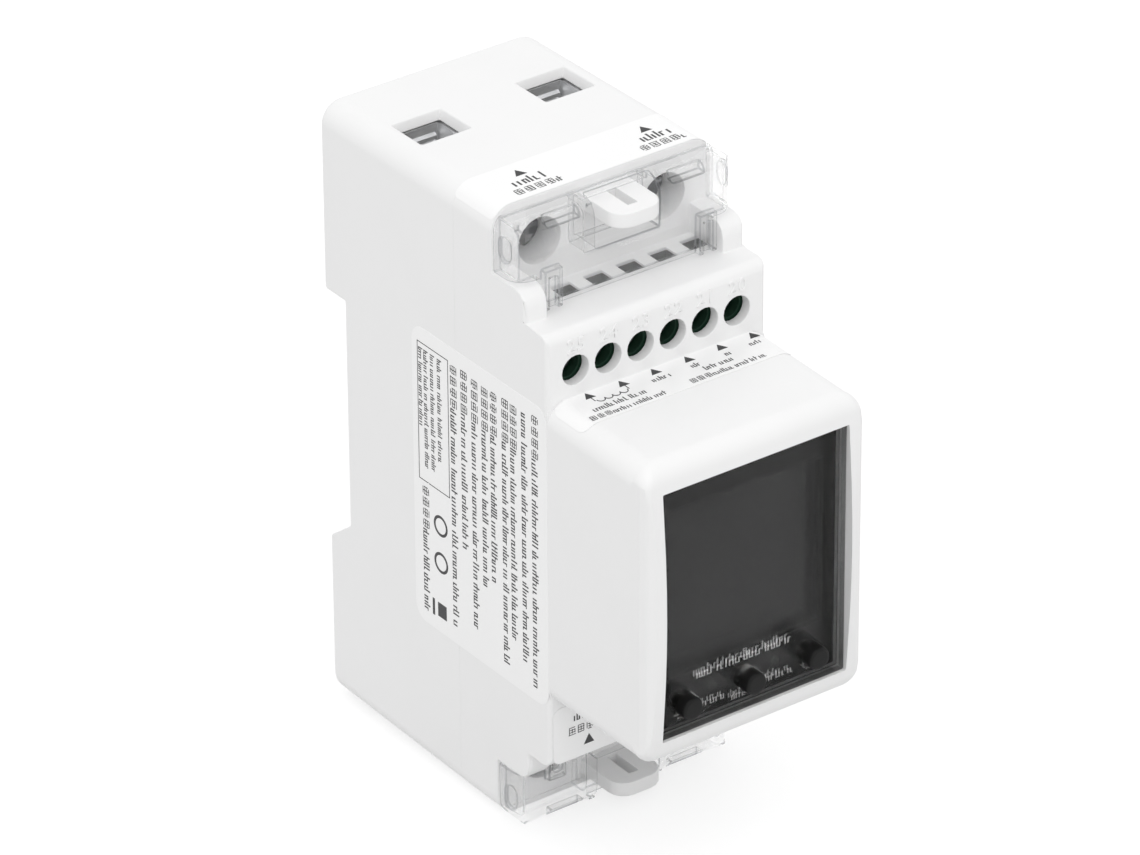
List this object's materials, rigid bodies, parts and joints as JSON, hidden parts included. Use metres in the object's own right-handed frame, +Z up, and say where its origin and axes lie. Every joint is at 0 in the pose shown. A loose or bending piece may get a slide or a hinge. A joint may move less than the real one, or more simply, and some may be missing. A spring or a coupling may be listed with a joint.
{
  "type": "din rail energy meter",
  "caption": "Slim rail-mounted meter: stepped white housing with a dark display, clear terminal covers, clamp terminals at both ends and a sliding rail clip.",
  "frame": {"origin": "middle of the housing's face that rests on the rail, which is the floor of the notch in its back", "axes": "+Z up along the case's longest side, +Y out of the back towards the rail, so the display faces -Y; +X to the right as seen from the front"},
  "size_m": [0.036, 0.0743, 0.094],
  "materials": {
    "housing_white": "bright white moulded plastic, satin",
    "clear_polycarbonate": "clear colourless plastic",
    "tinted_pane": "black-backed clear pane, glossy",
    "button_black": "black, satin",
    "clip_white": "white, satin",
    "zinc_steel": "zinc-plated steel",
    "tinned_copper": "tinned copper alloy",
    "terminal_green": "dark green moulded plastic",
    "board_green": "green circuit board",
    "lcd_grey": "dark grey display glass",
    "backlight_white": "white light guide",
    "potting_black": "black plastic",
    "film_yellow": "yellow plastic box",
    "can_sleeve": "dark sleeve over an aluminium can",
    "lamp_red": "red lamp body"
  },
  "bodies": {
    "case": {"rear_housing": "housing_white", "front_housing": "housing_white", "line_busbar": "tinned_copper", "neutral_busbar": "tinned_copper", "current_transformer": "potting_black", "signal_terminal_block": "terminal_green", "display_window": "tinted_pane", "switch_minus": "potting_black", "switch_menu": "potting_black", "switch_plus": "potting_black", "indicator_power": "lamp_red", "indicator_link": "lamp_red", "display_board": "board_green", "main_board": "board_green", "lcd_glass": "lcd_grey", "lcd_backlight": "backlight_white", "board_connector": "potting_black", "film_capacitor": "film_yellow", "electrolytic_capacitor": "can_sleeve"},
    "rail_clip": {"din_clip": "clip_white"},
    "top_cover": {"top_terminal_cover": "clear_polycarbonate"},
    "bottom_cover": {"bottom_terminal_cover": "clear_polycarbonate"},
    "minus_button": {"button_minus": "button_black"},
    "menu_button": {"button_menu": "button_black"},
    "plus_button": {"button_plus": "button_black"},
    "top_line_screw": {"top_line_clamp_screw": "zinc_steel"},
    "top_line_clamp": {"top_line_cage": "zinc_steel"},
    "top_neutral_screw": {"top_neutral_clamp_screw": "zinc_steel"},
    "top_neutral_clamp": {"top_neutral_cage": "zinc_steel"},
    "bottom_line_screw": {"bottom_line_clamp_screw": "zinc_steel"},
    "bottom_line_clamp": {"bottom_line_cage": "zinc_steel"},
    "bottom_neutral_screw": {"bottom_neutral_clamp_screw": "zinc_steel"},
    "bottom_neutral_clamp": {"bottom_neutral_cage": "zinc_steel"},
    "signal_screw_1": {"signal_screw_1": "zinc_steel"},
    "signal_screw_2": {"signal_screw_2": "zinc_steel"},
    "signal_screw_3": {"signal_screw_3": "zinc_steel"},
    "signal_screw_4": {"signal_screw_4": "zinc_steel"},
    "signal_screw_5": {"signal_screw_5": "zinc_steel"},
    "signal_screw_6": {"signal_screw_6": "zinc_steel"}
  },
  "joints": [
    {"name": "rail_clip_slide", "type": "slide", "parent": "case", "child": "rail_clip", "axis": [0, 0, -1], "range_m": [0, 0.0026]},
    {"name": "top_cover_pull", "type": "slide", "parent": "case", "child": "top_cover", "axis": [0, -1, 0], "range_m": [0, 0.01]},
    {"name": "bottom_cover_pull", "type": "slide", "parent": "case", "child": "bottom_cover", "axis": [0, -1, 0], "range_m": [0, 0.01]},
    {"name": "minus_button_press", "type": "slide", "parent": "case", "child": "minus_button", "axis": [0, 1, 0], "range_m": [0, 0.0005], "stiffness_N_per_m": 2000, "springref_m": -0.0002},
    {"name": "menu_button_press", "type": "slide", "parent": "case", "child": "menu_button", "axis": [0, 1, 0], "range_m": [0, 0.0005], "stiffness_N_per_m": 2000, "springref_m": -0.0002},
    {"name": "plus_button_press", "type": "slide", "parent": "case", "child": "plus_button", "axis": [0, 1, 0], "range_m": [0, 0.0005], "stiffness_N_per_m": 2000, "springref_m": -0.0002},
    {"name": "top_line_screw_turn", "type": "hinge", "parent": "case", "child": "top_line_screw", "pos_m": [0.0102, -0.0301, 0.0395], "axis": [0, 1, 0], "range_deg": [0, 2520]},
    {"name": "top_line_clamp_rise", "type": "slide", "parent": "case", "child": "top_line_clamp", "axis": [0, -1, 0], "range_m": [0, 0.005]},
    {"name": "top_neutral_screw_turn", "type": "hinge", "parent": "case", "child": "top_neutral_screw", "pos_m": [-0.0102, -0.0301, 0.0395], "axis": [0, 1, 0], "range_deg": [0, 2520]},
    {"name": "top_neutral_clamp_rise", "type": "slide", "parent": "case", "child": "top_neutral_clamp", "axis": [0, -1, 0], "range_m": [0, 0.005]},
    {"name": "bottom_line_screw_turn", "type": "hinge", "parent": "case", "child": "bottom_line_screw", "pos_m": [0.0102, -0.0301, -0.0405], "axis": [0, 1, 0], "range_deg": [0, 2520]},
    {"name": "bottom_line_clamp_rise", "type": "slide", "parent": "case", "child": "bottom_line_clamp", "axis": [0, -1, 0], "range_m": [0, 0.005]},
    {"name": "bottom_neutral_screw_turn", "type": "hinge", "parent": "case", "child": "bottom_neutral_screw", "pos_m": [-0.0102, -0.0301, -0.0405], "axis": [0, 1, 0], "range_deg": [0, 2520]},
    {"name": "bottom_neutral_clamp_rise", "type": "slide", "parent": "case", "child": "bottom_neutral_clamp", "axis": [0, -1, 0], "range_m": [0, 0.005]},
    {"name": "signal_screw_1_turn", "type": "hinge", "parent": "case", "child": "signal_screw_1", "pos_m": [-0.01325, -0.0429, 0.0265], "axis": [0, 1, 0], "range_deg": [0, 1800]},
    {"name": "signal_screw_2_turn", "type": "hinge", "parent": "case", "child": "signal_screw_2", "pos_m": [-0.00795, -0.0429, 0.0265], "axis": [0, 1, 0], "range_deg": [0, 1800]},
    {"name": "signal_screw_3_turn", "type": "hinge", "parent": "case", "child": "signal_screw_3", "pos_m": [-0.00265, -0.0429, 0.0265], "axis": [0, 1, 0], "range_deg": [0, 1800]},
    {"name": "signal_screw_4_turn", "type": "hinge", "parent": "case", "child": "signal_screw_4", "pos_m": [0.00265, -0.0429, 0.0265], "axis": [0, 1, 0], "range_deg": [0, 1800]},
    {"name": "signal_screw_5_turn", "type": "hinge", "parent": "case", "child": "signal_screw_5", "pos_m": [0.00795, -0.0429, 0.0265], "axis": [0, 1, 0], "range_deg": [0, 1800]},
    {"name": "signal_screw_6_turn", "type": "hinge", "parent": "case", "child": "signal_screw_6", "pos_m": [0.01325, -0.0429, 0.0265], "axis": [0, 1, 0], "range_deg": [0, 1800]}
  ],
  "couplings": [
    {"joint": "top_line_screw_turn", "follows": "top_line_clamp_rise", "rad_per_m": 7854},
    {"joint": "top_neutral_screw_turn", "follows": "top_neutral_clamp_rise", "rad_per_m": 7854},
    {"joint": "bottom_line_screw_turn", "follows": "bottom_line_clamp_rise", "rad_per_m": 7854},
    {"joint": "bottom_neutral_screw_turn", "follows": "bottom_neutral_clamp_rise", "rad_per_m": 7854}
  ]
}
